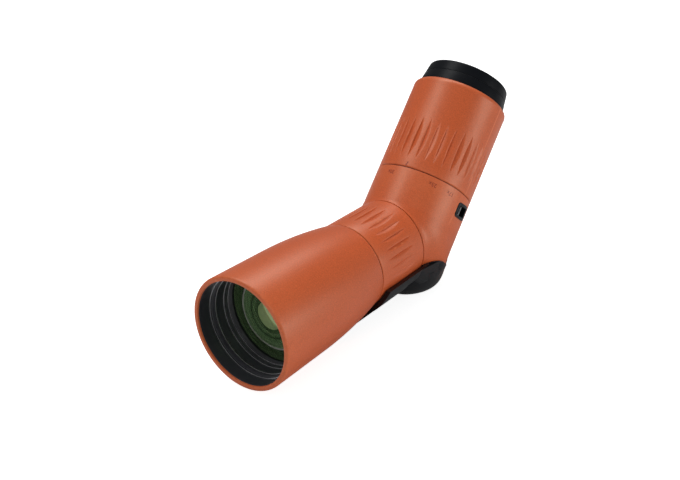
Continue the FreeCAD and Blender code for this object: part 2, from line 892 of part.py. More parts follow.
def eyecup_sleeve():
    """Turning sleeve that reaches down inside the zoom ring."""
    bore = detent_radius + running_clearance
    ledge = eyecup_foot + seam_gap + detent_ring_length + seam_gap
    clear = guide_radius + eyecup_bore_clearance
    return turned([
        (eyecup_foot, bore),
        (eyecup_foot, eyecup_radius),
        (zoom_ring_end, eyecup_radius),
        (eyecup_groove_at, eyecup_groove_radius),
        (eyecup_groove_at, clear),
        (ledge, clear),
        (ledge, bore),
    ])


def eyecup_rubber():
    """Soft rim with a rolled edge and an inner lip."""
    clear = guide_radius + eyecup_bore_clearance
    lip = eyecup_top - eyecup_lip_length
    shift = eyecup_rim_round * (1 - math.sqrt(0.5))
    return turned([
        (eyecup_groove_at, clear),
        (eyecup_groove_at, eyecup_groove_radius),
        (eyecup_top - eyecup_rim_round, eyecup_rim_radius),
        (eyecup_top - shift, eyecup_rim_radius - shift, eyecup_top, eyecup_rim_radius - eyecup_rim_round),
        (eyecup_top, eyecup_lip_radius + eyecup_rim_round),
        (eyecup_top - shift, eyecup_lip_radius + shift, eyecup_top - eyecup_rim_round, eyecup_lip_radius),
        (lip, eyecup_lip_radius + eyecup_lip_taper),
        (lip, clear),
    ])


# ---- strap lugs

def lug_outline(grow):
    """Slanted outline of a lug, in the (across, along) plane of its seat."""
    half_width = lug_width / 2 + grow
    half_length = lug_length / 2 + grow
    return [
        (-half_width, -half_length - lug_slant / 2),
        (half_width, -half_length + lug_slant / 2),
        (half_width, half_length + lug_slant / 2),
        (-half_width, half_length - lug_slant / 2),
    ]


def lug_prism(grow, low, high):
    """Block of the lug's outline between two heights over the eyepiece axis, on the +Z side."""
    corners = [Vector(x, lug_at + y, low) for x, y in lug_outline(grow)]
    block = Part.Face(Part.makePolygon(corners + corners[:1])).extrude(Vector(0, 0, high - low))
    uprights = [edge for edge in block.Edges if edge.BoundBox.ZLength > (high - low) / 2]
    return block.makeFillet(lug_corner + grow, uprights)


def lug_side(shape, side):
    """Turn a shape from the +Z side of the eyepiece to the left or right lug's seat."""
    if side > 0:
        return on_eyepiece(spun(shape, 90 - lug_angle))
    mirrored = shape.mirror(Vector(0, 0, 0), Vector(1, 0, 0))
    return on_eyepiece(spun(mirrored, -90 + lug_angle))


def lug_floor():
    return eyepiece_radius + lug_stand_out - lug_depth


def lug_block(side, grow):
    """Seat of a lug, grown sideways and inwards by an amount."""
    return lug_side(lug_prism(grow, lug_floor() - grow, eyepiece_radius + lug_depth), side)


def strap_lug(side):
    """Black frame with a recess and sockets for its bar."""
    block = lug_prism(0, lug_floor(), eyepiece_radius + lug_depth)
    crown = tube(lug_at - lug_length, lug_at + lug_length, 0, eyepiece_radius + lug_stand_out)
    block = block.common(crown)
    recess = lug_prism(-lug_frame, lug_floor() + lug_frame / 2, eyepiece_radius + lug_depth)
    block = block.cut(recess)
    return lug_side(block.cut(lug_bar()), side)


def lug_bar():
    """Bar across the recess that a strap's cord goes round."""
    reach = lug_length / 2 - lug_frame / 2
    height = eyepiece_radius - lug_pin_radius - lug_pin_sink
    return Part.makeCylinder(lug_pin_radius, 2 * reach, Vector(0, lug_at - reach, height), Vector(0, 1, 0))


def strap_pins():
    return Part.makeCompound([on_barrel(lug_side(lug_bar(), side)) for side in (1, -1)])


# ---- foot

def foot_mask():
    """Side outline of the foot's bridge: a front tongue, level sides and a falling rear."""
    floor = -body_front_radius - bridge_thickness
    end = bend_at + eyepiece_radius
    tongue_edge = -math.sqrt((barrel_rear_radius + bridge_thickness) ** 2 - tongue_half_width ** 2)
    crest = bridge_edge_rise - bridge_edge_drop
    fall_at = bend_at - bridge_rear_before
    step_middle = body_front + (bridge_step_after - bridge_step_before) / 2
    return slab([
        (tongue_front_at, -axis_height),
        (tongue_front_at, tongue_edge),
        (barrel_length, tongue_edge),
        (barrel_length + 0.3 * bridge_sweep, tongue_edge * 0.75, barrel_length + bridge_sweep, -bridge_edge_drop),
        (body_front - bridge_step_before, -bridge_edge_drop),
        (step_middle, crest - bridge_step_round, body_front + bridge_step_after, crest),
        (body_front + bridge_crest_end, crest - bridge_crest_fall, fall_at, crest - bridge_rear_fall),
        (end, crest - bridge_rear_fall - (end - fall_at) * math.tan(math.radians(bridge_rear_slope))),
        (end, floor),
        (body_front, floor),
        (body_front, -axis_height),
    ], 2 * eyepiece_radius)


def bridge_envelope(inset=0.0):
    """Outer form of the bridge: under the barrel, the focusing ring and the body."""
    middle_radius = barrel_curve()[1] - inset
    rear = body_front_radius + bridge_thickness + bridge_clearance - inset
    under = turned([
        (tongue_front_at, 0),
        (tongue_front_at, middle_radius - tongue_sink),
        (barrel_length, (rear + middle_radius) / 2),
        (body_front, rear),
        (body_front + bridge_seat, rear),
        (body_front + bridge_seat, 0),
    ])
    return under.fuse(bend_form(inset - bridge_lip))


def under_band():
    """Side outline of what lies under the bridge's raised band."""
    far = bend_at + 2 * eyepiece_radius
    level = -bridge_edge_drop - band_height
    fall = math.tan(math.radians(bridge_rear_slope / 2))
    return slab([
        (band_front_at, level),
        (bend_at - band_bend_before, level),
        (far, level - (far - bend_at + band_bend_before) * fall),
        (far, -2 * lip_radius),
        (band_front_at, -2 * lip_radius),
    ], 2 * eyepiece_radius)


def bridge_block():
    """The bridge before it is hollowed: its band stands a step proud of the rest."""
    block = bridge_envelope().common(foot_mask())
    skin = under_band().cut(bridge_envelope(band_step))
    return block.cut(skin)


def foot_bridge():
    """Black cradle that carries the body and reaches forward under the ring to the barrel."""
    bridge = bridge_block()
    bridge = bridge.cut(tube(barrel_length, body_front, 0, focus_ring_front_radius + bridge_clearance))
    bridge = bridge.cut(barrel_form(0, 0))
    bridge = bridge.cut(body_form(0))
    for x, y in screw_places():
        bridge = bridge.cut(upright(x, y, -axis_height, 0, foot_screw_radius))
    return biggest(bridge)


def upright(x, y, low, high, radius):
    """Upright cylinder at a place counted from the tripod thread, in the barrel's coordinates."""
    return Part.makeCylinder(radius, high - low, Vector(x, front_to_thread + y, low), Vector(0, 0, 1))


def biggest(shape):
    return max(shape.Solids, key=lambda solid: solid.Volume)


def screw_places():
    return [(-foot_screw_spread / 2, foot_screw_behind), (foot_screw_spread / 2, foot_screw_behind)]


def heel_section(height, length, width, shift):
    """Oval outline of the heel at a height over its base."""
    centre = Vector(0, front_to_thread + shift, height - axis_height)
    return oval(centre, Vector(width / 2, 0, 0), Vector(0, length / 2, 0))


def foot_heel():
    """Bowl under the bridge with a flat base for the tripod plate."""
    sections = []
    for share in (0, 0.25, 0.6, 1):
        grown = share ** heel_bulge
        sections.append(heel_section(
            heel_top_height * share,
            heel_base_length + (heel_top_length - heel_base_length) * grown,
            heel_base_width + (heel_top_width - heel_base_width) * grown,
            heel_base_shift + (heel_top_shift - heel_base_shift) * grown,
        ))
    heel = Part.makeLoft(sections, True, False)
    base_edge = [edge for edge in heel.Edges if edge.BoundBox.ZMax < 1e-3 - axis_height]
    heel = heel.makeFillet(heel_edge_round, base_edge)
    heel = heel.cut(bridge_block())
    heel = heel.cut(body_form(0))
    heel = heel.cut(tube(0, body_front, 0, focus_ring_front_radius + bridge_clearance))
    heel = heel.cut(upright(0, 0, -axis_height, bush_length - axis_height, bush_radius))
    heel = heel.cut(upright(0, -pin_hole_distance, -axis_height, pin_hole_depth - axis_height, pin_hole_radius))
    for x, y in screw_places():
        heel = heel.cut(upright(x, y, -axis_height, 0, foot_screw_radius))
        heel = heel.cut(upright(x, y, -axis_height, foot_screw_head + foot_screw_sink - axis_height, foot_screw_head_radius))
    return biggest(heel)


def tripod_bush():
    """Steel bush with the tripod thread."""
    bush = upright(0, 0, -axis_height, bush_length - axis_height, bush_radius)
    return bush.cut(upright(0, 0, -axis_height, bush_length - bush_end_wall - axis_height, thread_radius))


def foot_screws():
    under = foot_screw_sink - axis_height
    screws = []
    for x, y in screw_places():
        head = upright(x, y, under, under + foot_screw_head, foot_screw_head_radius)
        shank = upright(x, y, under, -body_front_radius - foot_screw_end_gap, foot_screw_radius)
        socket = upright(x, y, under, under + foot_screw_socket, foot_screw_radius * 0.7)
        screws.append(on_barrel(head.fuse(shank).removeSplitter().cut(socket)))
    return Part.makeCompound(screws)


# ---- all pieces

def barrel_pieces():
    seal = tube(clamp_ring_end, front_lens_at, retainer_bore_radius, lens_radius)
    spacer_at = front_lens_at + front_lens_edge
    land = lens_radius - lens_seat_radius
    return {
        "barrel_armour": barrel_armour(),
        "barrel_tube": barrel_tube(),
        "lens_retaining_ring": lens_retaining_ring(),
        "lens_clamp_ring": tube(retainer_end, clamp_ring_end, retainer_bore_radius - clamp_ring_step, lens_radius),
        "objective_seal": seal,
        "objective_front_lens": lens(front_lens_at, spacer_at, lens_radius, land, front_lens_curve,
                                     4 * front_lens_curve),
        "objective_lens_spacer": tube(spacer_at, crown_at, lens_seat_radius, lens_radius),
        "objective_crown_lens": lens(crown_at, flint_at, lens_radius, land, crown_curve, -cement_curve),
        "objective_flint_lens": lens(flint_at, lens_seat_at, lens_radius, land, -cement_curve, -flint_curve),
        "baffle_cone": baffle_cone(),
        "neck_tube": neck_tube(),
        "focus_seals": focus_seals(),
        "focus_core": focus_core(),
        "focus_grip": focus_grip(),
        "focus_lens_cell": focus_lens_cell(),
        "focus_lens": focus_lens(),
        "focus_drive_pin": focus_drive_pin(),
    }


def body_pieces():
    return {
        "body_armour": body_armour(),
        "body_housing": body_housing(),
        "roof_prism": roof_prism(),
        "prism_cradle": prism_cradle(),
        "prism_clamp": prism_clamp(),
        "strap_lug_left": strap_lug(1),
        "strap_lug_right": strap_lug(-1),
        "foot_bridge": foot_bridge(),
        "foot_heel": foot_heel(),
        "tripod_bush": tripod_bush(),
    }


def eyepiece_pieces():
    outer_at = eye_lens_outer_at()
    inner_at = eye_lens_inner_at()
    land = eye_lens_radius - eye_cell_opening
    return {
        "eyepiece_tube": eyepiece_tube(),
        "field_stop": field_stop(),
        "zoom_cam_sleeve": zoom_cam_sleeve(),
        "zoom_core": zoom_core(),
        "zoom_grip": zoom_grip(),
        "zoom_front_cell": zoom_cell(front_cell_at, front_cell_length),
        "zoom_front_lens": zoom_lens(front_cell_at, -zoom_lens_curve, -3 * zoom_lens_curve),
        "zoom_front_pin": zoom_pin(front_cell_at),
        "zoom_rear_cell": zoom_cell(rear_cell_at, rear_cell_length),
        "zoom_rear_lens": zoom_lens(rear_cell_at, 2 * zoom_lens_curve, -2 * zoom_lens_curve),
        "zoom_rear_pin": zoom_pin(rear_cell_at),
        "zoom_retaining_ring": zoom_retaining_ring(),
        "eye_lens_cell": eye_lens_cell(),
        "eye_lens_inner": lens(inner_at, inner_at + eye_lens_edge, eye_lens_radius, land,
                               2 * eye_lens_curve, -2 * eye_lens_curve),
        "eye_lens_spacer": eye_lens_spacer(),
        "eye_lens_outer": lens(outer_at, outer_at + eye_lens_edge, eye_lens_radius, land,
                               2 * eye_lens_curve, -4 * eye_lens_curve),
        "eye_lens_retainer": eye_lens_retainer(),
        "eyecup_guide": eyecup_guide(),
        "eyecup_detent_ring": detent_ring(),
        "eyecup_sleeve": eyecup_sleeve(),
        "eyecup_rubber": eyecup_rubber(),
    }


def main():
    os.makedirs("parts", exist_ok=True)
    pieces = {name: on_barrel(shape) for name, shape in barrel_pieces().items()}
    pieces.update({name: on_barrel(shape) for name, shape in body_pieces().items()})
    pieces.update({name: on_barrel(on_eyepiece(shape)) for name, shape in eyepiece_pieces().items()})
    pieces["strap_pins"] = strap_pins()
    pieces["foot_screws"] = foot_screws()
    for name, shape in pieces.items():
        shape.exportStep("parts/" + name + ".step")
        print(name, len(shape.Solids), round(shape.Volume, 1), shape.isValid())


main()
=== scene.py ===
# %% [markdown]
# # An angled spotting scope, dressed and lit
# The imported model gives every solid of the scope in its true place. This lesson keeps that frame
# and gives each visible piece its finish: soft orange armour with pressed grip grooves, a black
# sunshade with fine threads, green coated glass, a satin foot and a twist-up eyecup.

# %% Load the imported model
import json
import math

import bmesh
import bpy
from mathutils import Matrix, Vector


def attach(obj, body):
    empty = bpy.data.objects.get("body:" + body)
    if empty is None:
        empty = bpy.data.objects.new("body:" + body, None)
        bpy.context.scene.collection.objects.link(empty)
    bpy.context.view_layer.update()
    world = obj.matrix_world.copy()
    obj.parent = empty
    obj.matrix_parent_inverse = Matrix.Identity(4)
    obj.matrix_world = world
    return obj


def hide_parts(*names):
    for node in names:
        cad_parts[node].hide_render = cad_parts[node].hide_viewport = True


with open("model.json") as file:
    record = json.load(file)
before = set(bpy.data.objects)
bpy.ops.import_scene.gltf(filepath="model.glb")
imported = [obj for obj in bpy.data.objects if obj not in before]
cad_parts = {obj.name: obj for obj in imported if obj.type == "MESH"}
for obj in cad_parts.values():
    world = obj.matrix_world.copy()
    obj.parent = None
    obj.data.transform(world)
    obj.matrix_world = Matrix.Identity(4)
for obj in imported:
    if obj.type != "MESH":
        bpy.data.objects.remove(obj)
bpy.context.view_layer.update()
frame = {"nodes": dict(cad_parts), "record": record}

nodes = frame["nodes"]
print("nodes in the frame:", len(nodes))

# %% [markdown]
# ## Two axes
# Nearly every piece of a scope is turned on a lathe, about the barrel's axis or about the
# eyepiece's, which leaves it at 45 degrees. It is easiest to draw each piece about the plain
# Y axis, in millimetres, and to move the finished mesh to its own axis at the end.

# %% Places of the two axes
MM = 0.001
AXIS_HEIGHT = 36.0   # of the barrel's axis above the floor
FRONT_AT = -148.0    # of the barrel, along Y
BEND_AT = 143.082    # behind the barrel's front
TO_METRES = Matrix.Diagonal((MM, MM, MM, 1.0))
TO_BEND = Matrix.Translation((0, BEND_AT, 0))
TILT = Matrix.Rotation(math.radians(45), 4, "X")
ON_BARREL = Matrix.Translation((0, FRONT_AT * MM, AXIS_HEIGHT * MM)) @ TO_METRES
ON_EYEPIECE = ON_BARREL @ TO_BEND @ TILT
print("eyepiece axis starts at", [round(v, 4) for v in ON_EYEPIECE.to_translation()])

# %% [markdown]
# ## Shader groups
# The armour, the metal and the plastic all show a grain, and all are lighter where an edge
# stands out: partly wear, and partly a painted edge highlight. Each effect is built once as a
# node group with named inputs, and every material sets its own values. Groups give colours and
# values only, so the shader itself stays in the material.

# %% Helpers for node groups
FLOAT, COLOR = "NodeSocketFloat", "NodeSocketColor"


def new_group(name, inputs, outputs):
    group = bpy.data.node_groups.new(name, "ShaderNodeTree")
    for label, kind, value in inputs:
        socket = group.interface.new_socket(name=label, in_out="INPUT", socket_type=kind)
        socket.default_value = value
    for label, kind in outputs:
        group.interface.new_socket(name=label, in_out="OUTPUT", socket_type=kind)
    return group, group.nodes.new("NodeGroupInput"), group.nodes.new("NodeGroupOutput")


def put(tree, kind, settings=None, **inputs):
    """Add a node, set its properties, and fill or link its inputs.

    An input goes by its name, with _ for a space, or by its number, as i0, i1 and so on."""
    node = tree.nodes.new(kind)
    for key, value in (settings or {}).items():
        setattr(node, key, value)
    for label, value in inputs.items():
        by_number = label[0] == "i" and label[1:].isdigit()
        socket = node.inputs[int(label[1:]) if by_number else label.replace("_", " ")]
        if isinstance(value, bpy.types.NodeSocket):
            tree.links.new(value, socket)
        else:
            socket.default_value = value
    return node


def calc(tree, operation, *values, clamp=False):
    """The result of one sum, made by a maths node."""
    inputs = {"i%d" % number: value for number, value in enumerate(values)}
    settings = {"operation": operation, "use_clamp": clamp}
    return put(tree, "ShaderNodeMath", settings, **inputs).outputs[0]


# %% Fine grain, for moulded armour, paint and plastic
def build_fine_grain():
    """Colour, roughness and height that vary with a fine grain and a broad, faint mottling."""
    group, given, out = new_group(
        "Fine Grain",
        [("Color", COLOR, (0.5, 0.5, 0.5, 1)), ("Grain Scale", FLOAT, 2200.0),
         ("Color Shift", FLOAT, 0.1), ("Mottle Scale", FLOAT, 60.0), ("Mottle", FLOAT, 0.05),
         ("Roughness", FLOAT, 0.5), ("Roughness Shift", FLOAT, 0.1)],
        [("Color", COLOR), ("Roughness", FLOAT), ("Height", FLOAT)])
    where = put(group, "ShaderNodeTexCoord").outputs["Object"]
    fine = put(group, "ShaderNodeTexNoise", Vector=where, Scale=given.outputs["Grain Scale"],
               Detail=3.0, Roughness=0.6).outputs["Fac"]
    broad = put(group, "ShaderNodeTexNoise", Vector=where, Scale=given.outputs["Mottle Scale"],
                Detail=2.0).outputs["Fac"]
    grain = calc(group, "MULTIPLY_ADD", fine, given.outputs["Color Shift"], 1.0)
    middle = calc(group, "MULTIPLY_ADD", given.outputs["Color Shift"], -0.5, grain)
    patch = calc(group, "SUBTRACT", broad, 0.5)
    value = calc(group, "MULTIPLY_ADD", patch, given.outputs["Mottle"], middle)
    color = put(group, "ShaderNodeHueSaturation", Color=given.outputs["Color"], Value=value)
    spread = calc(group, "SUBTRACT", fine, 0.5)
    rough = calc(group, "MULTIPLY_ADD", spread, given.outputs["Roughness Shift"],
                 given.outputs["Roughness"])
    group.links.new(color.outputs["Color"], out.inputs["Color"])
    group.links.new(rough, out.inputs["Roughness"])
    group.links.new(fine, out.inputs["Height"])
    return group


FINE_GRAIN = build_fine_grain()
print("inputs of the grain:", [socket.name for socket in FINE_GRAIN.interface.items_tree
                               if socket.in_out == "INPUT"])

# %% Edge wear and painted edge highlight, where a raised edge is made brighter
WEAR_AND_HIGHLIGHT_STARTS, WEAR_AND_HIGHLIGHT_FULL = 0.505, 0.56    # 0.5 is a flat surface


def build_edge_wear_and_highlight():
    """Mixes a lighter colour over the finish where the surface bends outwards sharply; that
    colour is partly wear and partly a painted edge highlight.
    """
    group, given, out = new_group(
        "Edge Wear And Highlight",
        [("Color", COLOR, (0.5, 0.5, 0.5, 1)), ("Rubbed", COLOR, (0.7, 0.7, 0.7, 1)),
         ("Amount", FLOAT, 0.5), ("Break Up", FLOAT, 300.0)],
        [("Color", COLOR)])
    bend = put(group, "ShaderNodeNewGeometry").outputs["Pointiness"]
    edge = put(group, "ShaderNodeMapRange", Value=bend, From_Min=WEAR_AND_HIGHLIGHT_STARTS, From_Max=WEAR_AND_HIGHLIGHT_FULL)
    where = put(group, "ShaderNodeTexCoord").outputs["Object"]
    patchy = put(group, "ShaderNodeTexNoise", Vector=where, Scale=given.outputs["Break Up"],
                 Detail=4.0)
    part = calc(group, "MULTIPLY", edge.outputs[0], patchy.outputs["Fac"])
    mask = calc(group, "MULTIPLY", part, given.outputs["Amount"], clamp=True)
    mix = put(group, "ShaderNodeMix", {"data_type": "RGBA"}, i0=mask, i6=given.outputs["Color"],
              i7=given.outputs["Rubbed"])
    group.links.new(mix.outputs[2], out.inputs["Color"])
    return group


EDGE_WEAR_AND_HIGHLIGHT = build_edge_wear_and_highlight()
print("shader groups:", [group.name for group in bpy.data.node_groups])

# %% [markdown]
# ## Materials
# The armour is a matt rubber paint: a saturated burnt orange, with a grain as fine as skin, that
# turns paler where the soft lights meet it. The black parts are anodised or moulded, smoother and
# with a tight highlight. All of them are one Principled shader fed by the two groups, so a finish
# is one call with its colour, its roughness and the lighter colour of its raised edges, which is
# partly wear and partly a painted edge highlight. Lens glass has no grain: it is clear, with a
# faint tint and a coating that colours its reflections.

# %% Helpers for materials
MOTTLE = 0.06
REFRACTION = 1.52


def new_material(name, color, roughness, metallic=0.0):
    material = bpy.data.materials.new(name)
    material.use_nodes = True
    tree = material.node_tree
    shader = tree.nodes["Principled BSDF"]
    shader.inputs["Base Color"].default_value = (*color, 1)
    shader.inputs["Roughness"].default_value = roughness
    shader.inputs["Metallic"].default_value = metallic
    return material, tree, shader


def grained(name, color, roughness, rubbed, wear_and_highlight=0.5, grain=2200.0, shift=0.12, bump=0.25,
            depth=0.00006, specular=0.4, glint=(1, 1, 1), metallic=0.0):
    """Grained finish whose raised edges are lighter, partly wear and partly a painted highlight;
    the base of every painted, moulded or turned piece.
    """
    material, tree, shader = new_material(name, color, roughness, metallic)
    surface = put(tree, "ShaderNodeGroup", {"node_tree": FINE_GRAIN}, Color=(*color, 1),
                  Grain_Scale=grain, Color_Shift=shift, Mottle=MOTTLE, Roughness=roughness)
    # Raised edges take a lighter colour: partly wear, partly a painted edge highlight.
    worn_and_lit = put(tree, "ShaderNodeGroup", {"node_tree": EDGE_WEAR_AND_HIGHLIGHT}, Color=surface.outputs["Color"],
               Rubbed=(*rubbed, 1), Amount=wear_and_highlight)
    relief = put(tree, "ShaderNodeBump", Strength=bump, Distance=depth,
                 Height=surface.outputs["Height"])
    tree.links.new(worn_and_lit.outputs["Color"], shader.inputs["Base Color"])
    tree.links.new(surface.outputs["Roughness"], shader.inputs["Roughness"])
    tree.links.new(relief.outputs["Normal"], shader.inputs["Normal"])
    shader.inputs["Specular IOR Level"].default_value = specular
    shader.inputs["Specular Tint"].default_value = (*glint, 1)
    return material


def glassy(name, tint, coating, mirror=0.0, transmission=1.0, roughness=0.02):
    """Lens glass under a thin coating that colours what it reflects."""
    material, tree, shader = new_material(name, tint, roughness, mirror)
    shader.inputs["Transmission Weight"].default_value = transmission
    shader.inputs["IOR"].default_value = REFRACTION
    shader.inputs["Specular IOR Level"].default_value = 1.0
    shader.inputs["Specular Tint"].default_value = (*coating, 1)
    return material


# %% The painted and moulded finishes
# The armour's lighter edge colour is partly wear and partly a painted bright rim along its seams.
armour = grained("orange_armour", (0.60, 0.105, 0.027), 0.4, (0.85, 0.24, 0.10), wear_and_highlight=1.0,
                 grain=1600.0, shift=0.8, bump=0.6, depth=0.0001, specular=0.7,
                 glint=(1.0, 0.85, 0.68))
mark = grained("pressed_marks", (0.34, 0.052, 0.018), 0.5, (0.3, 0.06, 0.03))
foot_paint = grained("foot_paint", (0.006, 0.007, 0.009), 0.34, (0.03, 0.03, 0.034), wear_and_highlight=0.2,
                     grain=3000.0, shift=0.2, bump=0.2, specular=0.32)
eyecup_black = grained("eyecup_black", (0.005, 0.006, 0.008), 0.38, (0.03, 0.03, 0.034), wear_and_highlight=0.4,
                       grain=3500.0, shift=0.15, bump=0.12, specular=0.1)
lug_plastic = grained("lug_plastic", (0.003, 0.0035, 0.0045), 0.34, (0.20, 0.22, 0.24),
                      grain=4000.0, shift=0.15, bump=0.08, specular=0.08)
flock = grained("flocked_black", (0.010, 0.011, 0.011), 0.85, (0.02, 0.02, 0.02), bump=0.5)
print("painted and moulded finishes:", len(bpy.data.materials))

# %% The metals and the glass behind the front lens
anodised = grained("black_anodised", (0.028, 0.030, 0.035), 0.34, (0.10, 0.10, 0.11),
                   grain=5000.0, shift=0.15, bump=0.08)
bare_metal = grained("bare_alloy", (0.60, 0.60, 0.61), 0.3, (0.8, 0.8, 0.8), grain=4000.0,
                     shift=0.05, bump=0.05, metallic=1.0)
steel = grained("steel", (0.50, 0.50, 0.51), 0.32, (0.8, 0.8, 0.8), grain=4000.0, shift=0.08,
                bump=0.08, metallic=1.0)
edge_alloy = grained("turned_edge", (0.62, 0.62, 0.64), 0.35, (0.8, 0.8, 0.8), grain=4000.0,
                     shift=0.08, bump=0.05, metallic=0.9)
dark_pin = grained("dark_pin", (0.05, 0.052, 0.056), 0.3, (0.2, 0.2, 0.2), grain=4000.0,
                   shift=0.08, bump=0.05, metallic=0.8)
inner_glass = glassy("inner_glass", (0.96, 0.98, 0.93), (0.8, 1.0, 0.7))
eye_glass = glassy("eye_glass", (0.92, 0.95, 0.97), (0.6, 0.7, 1.0), mirror=0.05)
print("finishes so far:", len(bpy.data.materials))

# %% [markdown]
# ## Front glass
# A coated front lens mirrors the edges of its own mount in its faces, as dark and pale green
# rings about a pale middle. Reflections traced that deep in a tube come out dark and noisy, so
# the rings are painted reflections: tints of the glass itself, which is partly milky. A colour
# ramp is read by the distance from the barrel's axis, in millimetres, so the painted rings stay
# with the glass in every view.

# %% Front glass, milky green, with painted reflections in rings
RING_SPAN = 28.0
# Each stop is a painted reflection: the pale middle mirrors the white seen through the mouth, the
# pale thin rings the lit turned edges, and the dark rings the tube's black walls and threads.
PAINTED_LENS_REFLECTIONS = [
    (0.0, (0.80, 1.0, 0.48)), (7.8, (0.76, 1.0, 0.46)), (8.2, (0.13, 0.24, 0.09)),
    (10.4, (0.16, 0.28, 0.12)), (10.8, (0.42, 0.60, 0.30)), (11.1, (0.24, 0.42, 0.18)),
    (12.4, (0.22, 0.38, 0.16)), (12.7, (0.08, 0.15, 0.06)), (13.4, (0.08, 0.15, 0.06)),
    (13.8, (0.24, 0.42, 0.18)), (19.1, (0.34, 0.55, 0.26)), (19.4, (1.0, 1.0, 0.92)),
    (20.1, (1.0, 1.0, 0.92)), (20.4, (0.10, 0.18, 0.07)), (26.8, (0.22, 0.35, 0.16))]


def paint_lens_reflections(material):
    """Paints reflections of the mount into the glass's colour, in rings about the barrel's axis."""
    tree = material.node_tree
    place = put(tree, "ShaderNodeSeparateXYZ",
                Vector=put(tree, "ShaderNodeTexCoord").outputs["Object"])
    flat = put(tree, "ShaderNodeCombineXYZ", X=place.outputs["X"], Z=place.outputs["Z"])
    away = put(tree, "ShaderNodeVectorMath", {"operation": "DISTANCE"}, i0=flat.outputs[0],
               i1=(0, 0, AXIS_HEIGHT * MM))
    share = put(tree, "ShaderNodeMapRange", Value=away.outputs["Value"],
                From_Max=RING_SPAN * MM)
    ramp = put(tree, "ShaderNodeValToRGB", Fac=share.outputs[0])
    stops = ramp.color_ramp.elements
    while len(stops) < len(PAINTED_LENS_REFLECTIONS):
        stops.new(1.0)
    for stop, (radius, tint) in zip(stops, PAINTED_LENS_REFLECTIONS):
        stop.position = radius / RING_SPAN
        stop.color = (*tint, 1)
    tree.links.new(ramp.outputs["Color"], tree.nodes["Principled BSDF"].inputs["Base Color"])
    print(material.name, "has", len(stops), "tints from its middle to its edge")


lens_glass = glassy("coated_glass", (0.80, 0.91, 0.68), (0.75, 0.95, 0.6), mirror=0.12,
                    transmission=0.6)
paint_lens_reflections(lens_glass)

# %% [markdown]
# ## Put the finishes on the CAD nodes
# Every node gets the finish of its own material slot first. The pieces that show are then made
# again, finer, in the cells that follow, and each of those hides the plain node it stands for.

# %% Finish of each node
SLOT_FINISH = {
    "orange_armour": armour, "black_alloy": anodised, "seal_rubber": eyecup_black,
    "coated_glass": inner_glass, "flocked_black": flock, "bare_alloy": bare_metal, "steel": steel,
    "black_plastic": lug_plastic, "foot_black": foot_paint, "eyecup_rubber": eyecup_black,
}


def finish(piece, material):
    piece.data.materials.clear()
    piece.data.materials.append(material)


for part in frame["record"]["subparts"]:
    is_strap_pin = part["node"].startswith("strap_pin")
    finish(nodes[part["node"]], dark_pin if is_strap_pin else SLOT_FINISH[part["material_slot"]])

# %% [markdown]
# ## Turning a piece
# A lathe piece starts as a flat outline of a few corners. Each corner is rounded with the bevel
# operator while it is still flat, because there it costs nothing, and spin then carries the
# outline once round the axis. A closed outline gives a closed ring, so the piece has real walls.
# All sizes in an outline are millimetres: the place along the axis, then the radius, then the
# rounding, if the corner has one.

# %% Points on an arc
def arc_through(first, middle, last, count):
    """Points on the circle through three (along, radius) points, ends included."""
    (ax, ay), (bx, by), (cx, cy) = first, middle, last
    d = 2 * (ax * (by - cy) + bx * (cy - ay) + cx * (ay - by))
    a2, b2, c2 = ax * ax + ay * ay, bx * bx + by * by, cx * cx + cy * cy
    x = (a2 * (by - cy) + b2 * (cy - ay) + c2 * (ay - by)) / d
    y = (a2 * (cx - bx) + b2 * (ax - cx) + c2 * (bx - ax)) / d
    radius = math.hypot(ax - x, ay - y)
    start, end = math.atan2(ay - y, ax - x), math.atan2(cy - y, cx - x)
    turn = (end - start + math.pi) % (2 * math.pi) - math.pi
    steps = [start + turn * i / (count - 1) for i in range(count)]
    return [(x + radius * math.cos(a), y + radius * math.sin(a)) for a in steps]


# %% The lathe: outline, spin and weld
ROUNDING_STEPS = 5
WELD = 0.0005        # points closer than this become one
FULL_TURN = 2 * math.pi
LATHE = {"cent": (0, 0, 0), "axis": (0, 1, 0)}


def lathe_outline(corners):
    """Flat closed outline of (along, radius) or (along, radius, rounding) corners, as edges."""
    bm = bmesh.new()
    verts = [bm.verts.new((0, corner[0], corner[1])) for corner in corners]
    bm.faces.new(verts)
    for vert, corner in zip(verts, corners):
        if len(corner) == 3:
            bmesh.ops.bevel(bm, geom=[vert], offset=corner[2], offset_type="OFFSET",
                            affect="VERTICES", segments=ROUNDING_STEPS, profile=0.5, material=-1)
    bmesh.ops.delete(bm, geom=bm.faces[:], context="FACES_ONLY")
    return bm


def weld(bm):
    """Join points that lie on each other, and point every face outwards."""
    bmesh.ops.remove_doubles(bm, verts=bm.verts[:], dist=WELD)
    bmesh.ops.recalc_face_normals(bm, faces=bm.faces[:])


def spin_round(bm, steps):
    bmesh.ops.spin(bm, geom=bm.verts[:] + bm.edges[:], angle=FULL_TURN, steps=steps,
                   use_merge=True, **LATHE)
    weld(bm)


# %% Keep a finished piece
def keep_piece(name, bm, place, body, material, slot, *stands_for, sharp=35):
    """Turn a bmesh into a finished piece of the scope, smooth up to an angle in degrees."""
    for face in bm.faces:
        face.smooth = True
    for edge in bm.edges:
        edge.smooth = len(edge.link_faces) != 2 or edge.calc_face_angle() < math.radians(sharp)
    bm.transform(place)
    mesh = bpy.data.meshes.new(name)
    bm.to_mesh(mesh)
    bm.free()
    piece = bpy.data.objects.new(name, mesh)
    bpy.context.scene.collection.objects.link(piece)
    finish(piece, material)
    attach(piece, body)
    if stands_for:
        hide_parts(*stands_for)
    print(name, "has", len(mesh.polygons), "faces")
    return piece


